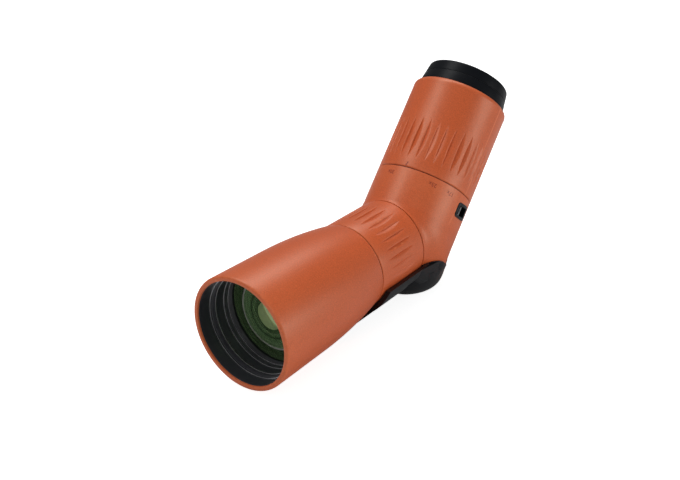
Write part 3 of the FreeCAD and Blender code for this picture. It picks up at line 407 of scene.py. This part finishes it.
def lathe_piece(name, corners, place, body, material, slot, *stands_for, steps=192):
    bm = lathe_outline(corners)
    spin_round(bm, steps)
    return keep_piece(name, bm, place, body, material, slot, *stands_for)


# %% [markdown]
# ## Barrel armour
# The barrel is a gentle cone for its first forty millimetres, then narrows along one long arc to
# the focusing ring. Its front is rolled over into a soft lip round the mouth. The same arc, set
# inwards, gives the armour its inner wall, and later the black tube its bore.

# %% Armour of the barrel
FLARE = [(40.0, 30.8), (63.78, 29.057), (87.15, 25.18)]
FLARE_POINTS = 20
ARMOUR_WALL = 1.4
BEHIND_LIP = (1.2, 30.467)
SEAM_ROUNDING = 0.55


def flare_line(inset):
    """The barrel's long arc, from front to rear, this far below the armour's surface."""
    return [(along, radius - inset) for along, radius in arc_through(*FLARE, FLARE_POINTS)]


inner_line = flare_line(ARMOUR_WALL)
lathe_piece(
    "barrel_armour_skin",
    [(0, 31.9, 1.3)] + flare_line(0.0)[:-1] + [(*FLARE[-1], SEAM_ROUNDING)] + inner_line[::-1]
    + [BEHIND_LIP, (1.2, 29.1), (0, 29.1, 0.5)],
    ON_BARREL, "scope", armour, "orange_armour", "barrel_armour", steps=256)

# %% [markdown]
# ## Grip grooves
# The ribbed bands are shallow grooves, pointed at both ends and deepest in the middle, with one
# steep side and one soft one. A cutter would leave hard facets, and the real ones are moulded
# soft, so the ring is spun with many fine columns and each vertex of the band is pressed inwards
# by a smooth function of its place. One rib is pressed first and then copied round.

# %% Pressing grooves into a spun ring
STEEP_SIDE = 0.35    # of the half width, on the steep side
EASE = 1.3           # 1 is a straight flank, more is a hollow one
GROOVE_SHIFT = 0.8   # of a groove's bottom from the middle of its rib
BAND_DEPTH = 0.4     # vertices this far under the band still belong to it
ROWS, COLUMNS = 35, 24


def press_grooves(bm, pitch, centre, length, outer, depth, half_width):
    """Press the vertices outside a radius inwards, in one V-shaped groove for each pitch."""
    for vert in bm.verts:
        reach = 2 * (vert.co.y - centre) / length
        radius = math.hypot(vert.co.x, vert.co.z)
        if abs(reach) >= 1 or radius < outer:
            continue
        turned = math.atan2(vert.co.x, vert.co.z) - GROOVE_SHIFT / radius
        angle = (turned + pitch / 2) % pitch - pitch / 2
        share = 1 - reach * reach
        across = abs(angle) * radius / (half_width * share * (STEEP_SIDE if angle < 0 else 1.0))
        if across < 1:
            fall = depth * share * (1 - across) ** EASE
            vert.co.x *= (radius - fall) / radius
            vert.co.z *= (radius - fall) / radius


# %% A ring with a band of grooves
NEAR = 0.01


def band_edges(bm, low, high, radius):
    """Edges of an outline that lie between two places along the axis, outside a radius."""
    return [edge for edge in bm.edges
            if all(low - NEAR < v.co.y < high + NEAR and v.co.z > radius for v in edge.verts)]


def grooved_ring(name, corners, band, count, place, body, stands_for):
    """Ring with a band of grooves, which is (low, high, radius, depth, half width)."""
    low, high, radius, depth, half_width = band
    pitch = FULL_TURN / count
    bm = lathe_outline(corners)
    for along in (low, high):
        bmesh.ops.bisect_plane(bm, geom=bm.verts[:] + bm.edges[:], plane_co=(0, along, 0),
                               plane_no=(0, 1, 0))
    bmesh.ops.subdivide_edges(bm, edges=band_edges(bm, low, high, radius - BAND_DEPTH), cuts=ROWS)
    bmesh.ops.rotate(bm, cent=(0, 0, 0), verts=bm.verts[:],
                     matrix=Matrix.Rotation(GROOVE_SHIFT / radius - pitch / 2, 3, "Y"))
    bmesh.ops.spin(bm, geom=bm.verts[:] + bm.edges[:], angle=pitch, steps=COLUMNS, **LATHE)
    press_grooves(bm, pitch, (low + high) / 2, high - low, radius - BAND_DEPTH, depth, half_width)
    bmesh.ops.spin(bm, geom=bm.verts[:] + bm.edges[:] + bm.faces[:], angle=FULL_TURN - pitch,
                   steps=count - 1, use_duplicate=True, **LATHE)
    weld(bm)
    return keep_piece(name, bm, place, body, armour, "orange_armour", stands_for)


# %% Focusing ring
grooved_ring(
    "focus_grip_skin",
    [(87.7, 25.1, SEAM_ROUNDING), (125.85, 24.8, SEAM_ROUNDING), (125.85, 23.3), (87.7, 23.3)],
    (94.5, 118.0, 25.0, 0.8, 2.3), 30, ON_BARREL, "focus_ring", "focus_grip")

# %% Zoom ring
zoom_shoulder = arc_through((82.9, 28.6), (85.05, 28.25), (86.0, 27.3), 8)
grooved_ring(
    "zoom_grip_skin",
    [(28.45, 28.6, 0.8)] + zoom_shoulder + [(86.0, 27.0), (28.45, 27.0)],
    (34.4, 59.9, 28.6, 0.9, 2.4), 34, ON_EYEPIECE, "zoom_ring", "zoom_grip")

# %% [markdown]
# ## Dark rings in the seams
# A rotating ring never quite touches its neighbour. A black ring lies in each of the three
# seams, about half a millimetre below the armour, so that no bare metal shines out from behind,
# and it paints the seam's shade as a dark line. Each is the plainest lathe piece, a square ring,
# and it stays with the scope.

# %% Dark seam rings, which paint the seams' shade
# A black square ring in a seam: it hides the metal behind and paints the seam's shade.
def seam_shade_ring(name, start, end, inner, outer, place):
    return lathe_piece(name, [(start, outer), (end, outer), (end, inner), (start, inner)], place,
                       "scope", eyecup_black, "seal_rubber")


seam_shade_ring("focus_seam_shade_front", 87.35, 87.65, 23.4, 24.6, ON_BARREL)
seam_shade_ring("focus_seam_shade_rear", 125.92, 126.15, 23.4, 24.3, ON_BARREL)
seam_shade_ring("zoom_seam_shade", 28.03, 28.42, 27.05, 28.1, ON_EYEPIECE)

# %% [markdown]
# ## Eyecup
# The eyecup is a black sleeve that climbs out of the zoom ring, topped by a soft rolled rim. The
# two meet in a fine groove, which catches a dark line all the way round. Both are turned, and the
# rim's outline follows two small arcs, because a rounded corner alone would look too square.

# %% Sleeve and rim of the eyecup
lathe_piece(
    "eyecup_sleeve_skin",
    [(79.2, 24.4), (79.2, 26.6, 0.3), (85.4, 26.6), (92.6, 25.4, 0.35), (92.6, 23.5), (85.8, 23.5),
     (85.8, 24.4)],
    ON_EYEPIECE, "eyecup", eyecup_black, "black_plastic", "eyecup_sleeve")
rim_out = arc_through((97.8, 24.6), (98.93, 24.13), (99.4, 23.0), 7)
rim_in = arc_through((99.4, 22.1), (98.93, 20.97), (97.8, 20.5), 7)
lathe_piece(
    "eyecup_rim_skin",
    [(92.6, 23.5), (92.6, 25.4, 0.35)] + rim_out + rim_in + [(95.5, 21.0), (95.5, 23.5)],
    ON_EYEPIECE, "eyecup", eyecup_black, "eyecup_rubber", "eyecup_rubber")

# %% [markdown]
# ## Inside the mouth
# Behind the lip the tube is a plain black sunshade. Thin turned edges catch the light. Between the
# first two runs a fine thread for a filter, and a second thread lies deeper. A thread is a helix,
# so a small ridge is spun several turns while each step moves it a little along the axis.

# %% Tube with its steps
TUBE_INSET = 3.0
bore = [(along, radius) for along, radius in flare_line(TUBE_INSET) if 46.7 < along < 82.3]
lathe_piece(
    "barrel_tube_turned",
    [(1.2, 28.9, 0.2), (9.0, 28.9), (9.0, 28.5, 0.12), (9.35, 28.5, 0.12), (9.35, 28.6),
     (12.0, 28.6), (12.0, 28.0, 0.15), (44.7, 28.0), (44.7, 26.6), (46.7, 26.6), (46.7, 27.0)]
    + bore + [(82.3, 22.9), (82.3, 20.0), (87.3, 20.0), (87.3, 23.75)] + inner_line[::-1]
    + [BEHIND_LIP],
    ON_BARREL, "scope", anodised, "black_alloy", "barrel_tube")

# %% Turned edges that catch the light
FOOTING = 0.1        # sunk into the bore


def edge_ring(name, along, radius, width=0.35, depth=0.4):
    """Small chamfered ring that stands inwards from the bore."""
    crest = radius - depth
    return lathe_piece(
        name,
        [(along, radius + FOOTING), (along + 0.08, crest), (along + width, crest + 0.1),
         (along + width + 0.15, radius + FOOTING)],
        ON_BARREL, "scope", edge_alloy, "black_alloy")


edge_ring("shade_edge_front", 8.9, 28.9)
edge_ring("shade_edge_rear", 12.2, 28.1, 0.45)
edge_ring("retainer_edge", 18.4, 27.9, 0.25, 0.3)
edge_ring("thread_edge", 21.0, 27.3, 0.25, 0.3)
edge_ring("lens_spacer_edge", 32.2, 26.6, 0.4, 0.6)

# %% Threads
THREAD_STEPS = 128
HALF_RIDGE = 0.4     # of the pitch
ROOT = 0.05          # sunk into the bore


def thread_piece(name, start, end, radius, height, pitch):
    """Helical ridge that stands inwards from a bore."""
    turns = (end - start) / pitch
    bm = bmesh.new()
    ridge = ((-pitch * HALF_RIDGE, ROOT), (0, -height), (pitch * HALF_RIDGE, ROOT))
    verts = [bm.verts.new((0, start + y, radius + z)) for y, z in ridge]
    first = bm.faces.new(verts)
    advance = (end - start) / (THREAD_STEPS * turns)
    made = bmesh.ops.spin(bm, geom=verts + first.edges[:], angle=FULL_TURN * turns,
                          dvec=(0, advance, 0), steps=int(THREAD_STEPS * turns), **LATHE)
    bm.faces.new([item for item in made["geom_last"] if isinstance(item, bmesh.types.BMVert)])
    bmesh.ops.recalc_face_normals(bm, faces=bm.faces[:])
    return keep_piece(name, bm, ON_BARREL, "scope", anodised, "black_alloy")


thread_piece("filter_thread", 9.75, 11.75, 28.6, 0.35, 0.5)
thread_piece("shade_thread", 21.6, 24.0, 27.2, 0.28, 0.6)

# %% [markdown]
# ## The two lenses that show
# The front lens is a shallow dome inside its ring, and the eye lens a stronger one. Each is half
# an outline, from one vertex over the edge to the other, spun finely because a coated lens shows
# every facet. Its two vertices lie on the axis, so all their copies are merged into one.

# %% Lenses that show
DOME_POINTS = 14
LENS_STEPS = 128
LENS_SHARP = 20


def dome(edge, face, curve):
    """Points from a lens's vertex to the edge of its face; a positive curve bulges forwards."""
    points = []
    sink = abs(curve) - math.sqrt(curve * curve - face * face)
    sign = -1 if curve > 0 else 1
    for i in range(DOME_POINTS):
        radius = face * i / (DOME_POINTS - 1)
        here = abs(curve) - math.sqrt(curve * curve - radius * radius)
        points.append((edge + sign * (sink - here), radius))
    return points


def lens_piece(name, front, rear, radius, land, curves, place, stands_for, material):
    """Lens between two places along the axis, with a flat land round its two faces."""
    face = radius - land
    corners = (dome(front, face, curves[0]) + [(front, radius), (rear, radius)]
               + dome(rear, face, curves[1])[::-1])
    bm = bmesh.new()
    verts = [bm.verts.new((0, along, away)) for along, away in corners]
    for pair in zip(verts, verts[1:]):
        bm.edges.new(pair)
    spin_round(bm, LENS_STEPS)
    return keep_piece(name, bm, place, "scope", material, "coated_glass", stands_for,
                      sharp=LENS_SHARP)


lens_piece("front_lens_polished", 25.8, 31.8, 28.0, 1.4, (120.0, 480.0), ON_BARREL,
           "objective_front_lens", lens_glass)
lens_piece("eye_lens_polished", 84.8, 89.0, 15.5, 1.5, (76.0, -152.0), ON_EYEPIECE,
           "eye_lens_outer", eye_glass)

# %% [markdown]
# ## Cast and moulded pieces
# The body, the foot and the strap lugs aren't turned, so their shapes come from the frame. A copy
# of each node is merged into one skin, and a narrow bevel breaks its edges, which is what makes a
# real edge catch a line of light.

# %% Softened copies of CAD nodes
AS_IT_IS = Matrix.Identity(4)
TRIANGLE_WELD = 0.000002   # metres, as in the frame
FLAT_ENOUGH = 0.3          # degrees


def soft_edges(piece, width, angle=32):
    bevel = piece.modifiers.new("soft edges", "BEVEL")
    bevel.width = width * MM
    bevel.segments = 3
    bevel.limit_method = "ANGLE"
    bevel.angle_limit = math.radians(angle)
    bevel.harden_normals = True


def join_flat_faces(bm, angle):
    bmesh.ops.dissolve_limit(bm, angle_limit=math.radians(angle), verts=bm.verts[:],
                             edges=bm.edges[:])


def softened(node, width, material, slot):
    bm = bmesh.new()
    bm.from_mesh(nodes[node].data)
    bmesh.ops.remove_doubles(bm, verts=bm.verts[:], dist=TRIANGLE_WELD)
    join_flat_faces(bm, FLAT_ENOUGH)
    piece = keep_piece(node + "_soft", bm, AS_IT_IS, "scope", material, slot, node)
    soft_edges(piece, width)


softened("body_armour", 0.7, armour, "orange_armour")
softened("foot_bridge", 0.35, foot_paint, "foot_black")
softened("foot_heel", 0.4, foot_paint, "foot_black")

# %% [markdown]
# ## Cheeks of the foot
# The band of the foot runs on into the bowl of its heel, and the two CAD nodes leave a notch
# between them there. The corners of both nodes that lie round the notch, wrapped in a convex
# hull, give a filler that fits it. It is drawn in a little, so that it never stands proud.

# %% Cheeks of the foot
CHEEK_OUTSIDE = 19         # from the middle
CHEEK_ALONG = (-27, -3)    # along Y
CHEEK_HEIGHT = (12, 26)
CHEEK_DRAWN_IN = 0.08
CHEEK_FLAT = 6             # degrees between faces that become one


def cheek(name, side):
    """Solid filler on one side, +1 or -1, in the millimetres of the frame."""
    bm = bmesh.new()
    for node in ("foot_bridge", "foot_heel"):
        for vert in nodes[node].data.vertices:
            x, y, z = vert.co / MM
            in_notch = CHEEK_ALONG[0] < y < CHEEK_ALONG[1] and CHEEK_HEIGHT[0] < z < CHEEK_HEIGHT[1]
            if in_notch and side * x > CHEEK_OUTSIDE:
                bm.verts.new(vert.co)
    made = bmesh.ops.convex_hull(bm, input=bm.verts[:])
    inside = {item for item in made["geom_interior"] + made["geom_unused"]
              if isinstance(item, bmesh.types.BMVert)}
    bmesh.ops.delete(bm, geom=list(inside), context="VERTS")
    bmesh.ops.recalc_face_normals(bm, faces=bm.faces[:])
    bm.normal_update()
    for vert in bm.verts:
        vert.co -= vert.normal * CHEEK_DRAWN_IN * MM
    join_flat_faces(bm, CHEEK_FLAT)
    bmesh.ops.triangulate(bm, faces=bm.faces[:])
    piece = keep_piece(name, bm, AS_IT_IS, "scope", foot_paint, "foot_black")
    soft_edges(piece, 0.5, 20)


cheek("foot_cheek_left", 1)
cheek("foot_cheek_right", -1)

# %% Strap lugs
for node in ("strap_lug_left", "strap_lug_right"):
    softened(node, 0.25, lug_plastic, "black_plastic")

# %% [markdown]
# ## Zoom scale
# Plain numbers stand on the body under the zoom ring, raised a tenth of a millimetre in a darker
# tone of the armour's colour, and a short bar on the ring points at them. Text is made a mesh
# first and each vertex is then laid round the tube: its x becomes an angle and its height a
# radius.

# %% Numbers
TUBE_RADIUS = 28.6
NUMBER_SIZE = 3.3
NUMBER_RAISED = 0.09
NUMBERS_AT = 23.9
TEXT_WELD = 0.0001


def round_the_tube(bm, along, degrees):
    """Bend a flat mesh in millimetres onto the eyepiece, readable from the eyecup's side."""
    for vert in bm.verts:
        angle = math.radians(degrees) + vert.co.x / TUBE_RADIUS
        radius = TUBE_RADIUS + vert.co.z
        vert.co = Vector((radius * math.cos(angle), along - vert.co.y, radius * math.sin(angle)))


def scale_number(text, degrees):
    curve = bpy.data.curves.new("number", "FONT")
    curve.body = text
    curve.size = NUMBER_SIZE
    curve.align_x = "CENTER"
    curve.align_y = "CENTER"
    curve.extrude = NUMBER_RAISED
    holder = bpy.data.objects.new("number", curve)
    bpy.context.scene.collection.objects.link(holder)
    bpy.context.view_layer.update()
    mesh = bpy.data.meshes.new_from_object(holder)
    bpy.data.objects.remove(holder)
    bm = bmesh.new()
    bm.from_mesh(mesh)
    bmesh.ops.remove_doubles(bm, verts=bm.verts[:], dist=TEXT_WELD)
    round_the_tube(bm, NUMBERS_AT, degrees)
    keep_piece("number_" + text, bm, ON_EYEPIECE, "scope", mark, "orange_armour")


for text, degrees in (("17x", 23.7), ("25x", 47.6), ("30x", 101.7)):
    scale_number(text, degrees)

# %% Index bar
BAR_SIZE = (0.6, 2.6, 0.2)
BAR_SLANT = -14
BAR_AT = (30.3, 85.0)

index = bmesh.new()
bmesh.ops.create_cube(index, size=1.0)
bmesh.ops.scale(index, vec=BAR_SIZE, verts=index.verts[:])
bmesh.ops.rotate(index, cent=(0, 0, 0), verts=index.verts[:],
                 matrix=Matrix.Rotation(math.radians(BAR_SLANT), 3, "Z"))
round_the_tube(index, *BAR_AT)
keep_piece("zoom_index_bar", index, ON_EYEPIECE, "zoom_ring", mark, "orange_armour")

# %% [markdown]
# ## Camera
# The scope is seen from its front and from above, by a fairly long lens about three quarters of a
# metre away. The camera is given by where it stands, by the direction that points back out of it
# and by a small roll. Its three axes are worked out from those angles, so nothing has to track it.

# %% Camera
SENSOR_WIDTH = 36.0
NEAREST_SEEN = 0.01


def look_from(position, azimuth, elevation, roll, lens):
    """Camera at a place in metres, turned by angles in degrees, with a lens in millimetres."""
    az, el, turn = (math.radians(angle) for angle in (azimuth, elevation, roll))
    back = Vector((math.sin(az) * math.cos(el), -math.cos(az) * math.cos(el), math.sin(el)))
    side = Vector((0, 0, 1)).cross(back).normalized()
    up = back.cross(side)
    right = side * math.cos(turn) + up * math.sin(turn)
    top = up * math.cos(turn) - side * math.sin(turn)
    camera = bpy.data.objects.new("camera", bpy.data.cameras.new("camera"))
    bpy.context.scene.collection.objects.link(camera)
    camera.data.lens = lens
    camera.data.sensor_width = SENSOR_WIDTH
    camera.data.clip_start = NEAREST_SEEN
    axes = Matrix((right, top, back)).transposed()
    camera.matrix_world = Matrix.Translation(position) @ axes.to_4x4()
    bpy.context.scene.camera = camera
    print("camera at", position, "with a lens of", lens, "mm")


look_from((0.39413, -0.53134, 0.33954), 40.17, 25.04, -4.472, 66.02)

# %% [markdown]
# ## Lights
# A long, narrow softbox overhead draws one broad highlight along the barrel and the rings, a weak
# one in front fills the shadows, and one on the right lifts the far edge. The surroundings are
# white to the camera only, and dim to everything else, or the black parts would turn grey in
# their light. Light Path tells the two kinds of ray apart.

# %% Softboxes
def area_light(name, position, target, width, height, power):
    """Rectangular softbox at a place, turned towards a target; metres and watts."""
    light = bpy.data.lights.new(name, "AREA")
    light.shape = "RECTANGLE"
    light.size = width
    light.size_y = height
    light.energy = power
    lamp = bpy.data.objects.new(name, light)
    bpy.context.scene.collection.objects.link(lamp)
    lamp.location = position
    lamp.rotation_mode = "QUATERNION"
    lamp.rotation_quaternion = (Vector(target) - Vector(position)).to_track_quat("-Z", "Y")
    print(name, "of", power, "W")


area_light("overhead softbox", (-0.27, 0.02, 0.83), (0, -0.03, 0.05), 1.5, 0.26, 6.3)
area_light("front softbox", (0.45, -0.9, 0.55), (0, -0.03, 0.08), 0.6, 0.6, 1.5)
area_light("right softbox", (0.95, 0.20, 0.12), (0, -0.03, 0.06), 0.6, 0.35, 3.4)

# %% White surroundings
WHITE = (1, 1, 1, 1)
DIM_WHITE = 0.21

world = bpy.data.worlds.new("studio")
world.use_nodes = True
backdrop = world.node_tree.nodes["Background"]
backdrop.inputs["Color"].default_value = WHITE
camera_ray = put(world.node_tree, "ShaderNodeLightPath").outputs["Is Camera Ray"]
strength = put(world.node_tree, "ShaderNodeMapRange", Value=camera_ray, To_Min=DIM_WHITE,
               To_Max=1.0)
world.node_tree.links.new(strength.outputs[0], backdrop.inputs["Strength"])
bpy.context.scene.world = world
bpy.context.scene.view_settings.view_transform = "Standard"
print("strength of the surroundings:", DIM_WHITE, "and 1.0 to the camera")

# %% [markdown]
# ## Floor
# The foot stands on a plain white floor, a single large square. It glows to the camera only, so
# that it meets the surroundings without a line, and just a soft shadow shows under the foot.

# %% Floor
FLOOR_HALF = 4.0
FLOOR_GLOW = 0.85

bm = bmesh.new()
bmesh.ops.create_grid(bm, x_segments=1, y_segments=1, size=FLOOR_HALF)
mesh = bpy.data.meshes.new("floor")
bm.to_mesh(mesh)
bm.free()
floor = bpy.data.objects.new("floor", mesh)
bpy.context.scene.collection.objects.link(floor)
floor_white, floor_tree, floor_shader = new_material("floor_white", (0.8, 0.8, 0.8), 0.9)
floor_shader.inputs["Emission Color"].default_value = WHITE
camera_ray = put(floor_tree, "ShaderNodeLightPath").outputs["Is Camera Ray"]
floor_tree.links.new(calc(floor_tree, "MULTIPLY", camera_ray, FLOOR_GLOW),
                     floor_shader.inputs["Emission Strength"])
finish(floor, floor_white)
print("floor of", 2 * FLOOR_HALF, "m")
